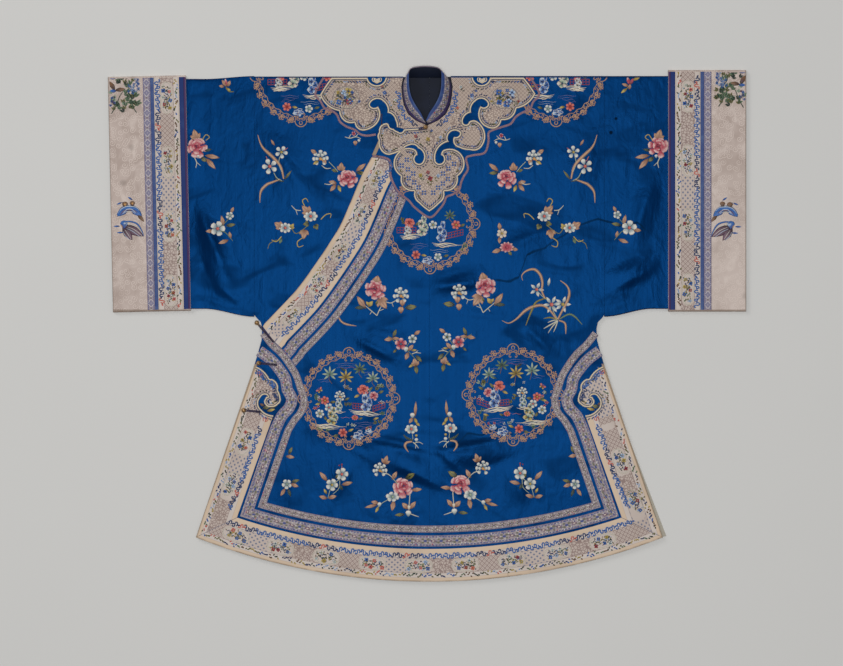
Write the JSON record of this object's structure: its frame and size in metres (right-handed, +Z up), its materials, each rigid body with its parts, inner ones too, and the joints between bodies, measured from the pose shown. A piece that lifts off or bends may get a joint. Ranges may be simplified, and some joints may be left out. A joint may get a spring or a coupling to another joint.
{
  "type": "short embroidered robe",
  "caption": "Short silk robe laid flat, closed at one side over an underlap, with a scalloped collar, wide sleeves with turned-back cuffs, bordered hem and ball buttons.",
  "frame": {"origin": "middle of the bounding box in X and Y, on the surface that the robe lies on", "axes": "+X towards the wearer's left sleeve, which is on the right as the robe is looked at; +Y towards the neck; +Z up from the surface, out of the front"},
  "size_m": [1.37, 1.106, 0.0222],
  "materials": {
    "blue_satin": "silk satin, deep blue, soft sheen",
    "cream_silk": "cream figured silk",
    "lavender_ribbon": "woven ribbon, lavender grey",
    "blue_strip": "blue satin strip",
    "purple_strip": "dark purple satin binding",
    "pink_braid": "woven pink braid",
    "brass": "worn gilt brass",
    "purple_cord": "silk cord"
  },
  "bodies": {
    "root": {"body_left": "blue_satin", "body_right": "blue_satin", "overlap": "blue_satin", "sleeve_left": "blue_satin", "sleeve_right": "blue_satin", "cuff_left": "cream_silk", "cuff_right": "cream_silk", "cuff_ribbon_left": "lavender_ribbon", "cuff_ribbon_right": "lavender_ribbon", "cuff_blue_strip_left": "blue_strip", "cuff_blue_strip_right": "blue_strip", "sleeveband_left": "cream_silk", "sleeveband_right": "cream_silk", "cuff_binding_left": "purple_strip", "cuff_binding_right": "purple_strip", "collar": "lavender_ribbon", "cloud_collar_front": "cream_silk", "cloud_collar_shoulder": "cream_silk", "collar_braid_front": "pink_braid", "collar_braid_shoulder": "pink_braid", "overlap_border": "cream_silk", "overlap_ribbon_wide": "lavender_ribbon", "overlap_ribbon_narrow": "lavender_ribbon", "side_border_left": "cream_silk", "side_border_right": "cream_silk", "hem_border_left": "cream_silk", "hem_border_right": "cream_silk", "skirt_ribbon_wide": "lavender_ribbon", "skirt_ribbon_narrow": "lavender_ribbon", "button_neck": "brass", "button_underarm": "brass", "button_waist": "brass", "button_slit": "brass", "loop_neck": "purple_cord", "loop_underarm": "purple_cord", "loop_waist": "purple_cord", "loop_slit": "purple_cord", "loop_clavicle": "purple_cord"}
  },
  "joints": []
}
